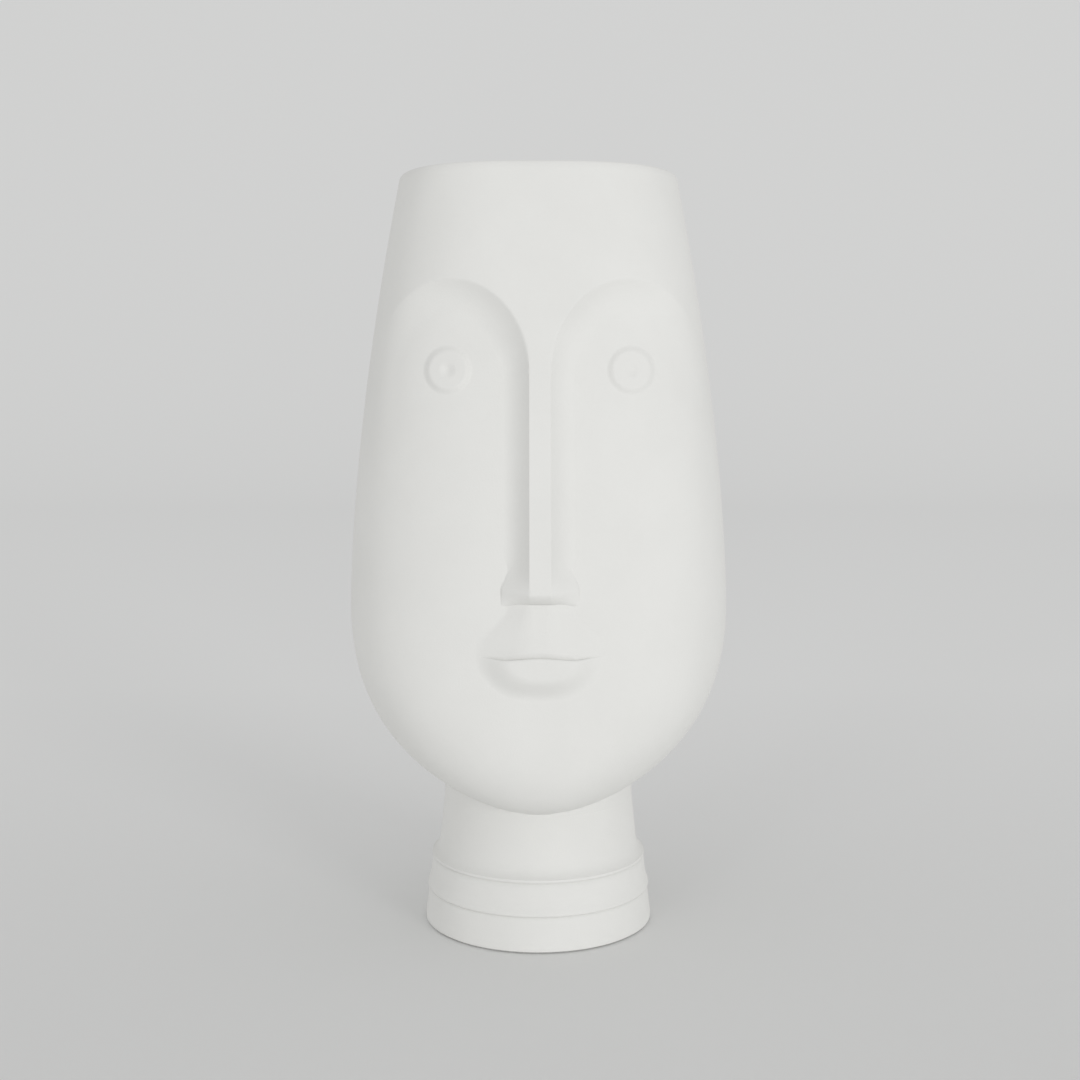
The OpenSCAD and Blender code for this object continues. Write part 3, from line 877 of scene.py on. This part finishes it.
def backdrop(material):
    """A sheet of paper that lies on the table and sweeps up behind it."""
    near, far, sweep, lift, side = -2000.0, 2500.0, 4000.0, 62, 6000.0
    profile = [(near, 0.0), (far, 0.0)]
    for a in np.radians(np.linspace(0, lift, 40))[1:]:
        profile.append((far + sweep * math.sin(a), sweep * (1 - math.cos(a))))
    points, faces = [], []
    for y, z in profile:
        points += [(-side, y, z), (side, y, z)]
    for i in range(len(profile) - 1):
        faces.append([2 * i, 2 * i + 1, 2 * i + 3, 2 * i + 2])
    piece = mesh_piece("backdrop", points, faces, material, closed=False)
    return piece


def lamp(name, round_by, up_by, power):
    """A square soft box that faces the vase: its direction is in degrees, to the right and up."""
    aim = Vector((0, 0, 0.15))
    a, e = math.radians(round_by), math.radians(up_by)
    way = Vector((math.sin(a) * math.cos(e), -math.cos(a) * math.cos(e), math.sin(e)))
    data = bpy.data.lights.new(name, "AREA")
    data.shape = "SQUARE"
    data.size = lamp_size
    data.energy = power
    made = bpy.data.objects.new(name, data)
    made.location = aim + way * lamp_away
    made.rotation_euler = (-way).to_track_quat("-Z", "Y").to_euler()
    made.visible_camera = False
    bpy.context.scene.collection.objects.link(made)


def room_light(strength, seen_strength):
    """Even light from all round; where the room itself is seen, it is as grey as the paper."""
    world = bpy.data.worlds.new("room")
    bpy.context.scene.world = world
    world.use_nodes = True
    nodes, links = world.node_tree.nodes, world.node_tree.links
    back = nodes["Background"]
    back.inputs["Color"].default_value = (1, 1, 1, 1)
    back.inputs["Strength"].default_value = strength
    grey = nodes.new("ShaderNodeBackground")
    grey.inputs["Color"].default_value = (1, 1, 0.995, 1)
    grey.inputs["Strength"].default_value = seen_strength
    mix = nodes.new("ShaderNodeMixShader")
    links.new(seen_directly(nodes, links), mix.inputs["Fac"])
    links.new(back.outputs["Background"], mix.inputs[1])
    links.new(grey.outputs["Background"], mix.inputs[2])
    links.new(mix.outputs["Shader"], nodes["World Output"].inputs["Surface"])


def camera():
    """The photograph's view: nearly level, a little above the middle, looking slightly down."""
    photo_px = 1080
    focal_px = 1450
    distance, eye_level, pitch, round_by = 0.590, 0.2098, math.radians(5.15), math.radians(0.5)
    axis_px = 538.3
    data = bpy.data.cameras.new("camera")
    data.sensor_width = 36
    data.lens = focal_px / photo_px * data.sensor_width
    data.shift_x = (photo_px / 2 - axis_px) / photo_px
    data.clip_start = 0.01
    made = bpy.data.objects.new("camera", data)
    made.location = (-distance * math.sin(round_by), -distance * math.cos(round_by), eye_level)
    made.rotation_euler = (math.pi / 2 - pitch, 0, -round_by)
    bpy.context.scene.collection.objects.link(made)
    bpy.context.scene.camera = made


def build():
    grain = clay_grain()
    bisque = clay("bisque", grain, pale=(0.765, 0.765, 0.745), deep=(0.735, 0.735, 0.715), rough=0.86,
                  tooth_depth=0.00012, cloud_size=22.0)
    bare = clay("bare clay", grain, pale=(0.66, 0.63, 0.56), deep=(0.58, 0.55, 0.48), rough=0.92,
                tooth_depth=0.0002, cloud_size=40.0)
    lining = glaze("inner glaze", grain)
    thrower = wheel()
    white = [head(bisque), nose(bisque), eye(-1, "left_eye", bisque), eye(1, "right_eye", bisque)]
    white += [upper_lip(bisque), lower_lip(bisque)]
    white += [neck(bisque, thrower), neck_ring(bisque, thrower), foot_ring(bisque, thrower)]
    for piece in white:
        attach(piece, "root")
    floor = base_floor(bare)
    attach(floor, "root")
    glass = inner_glaze(lining)
    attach(glass, "root")


build()
backdrop(backdrop_paper())
room_light(strength=0.66, seen_strength=0.60)
lamp("key", round_by=34, up_by=5, power=104.0)
lamp("fill", round_by=-32, up_by=5, power=40.0)
camera()

bpy.context.scene.view_settings.view_transform = "Standard"
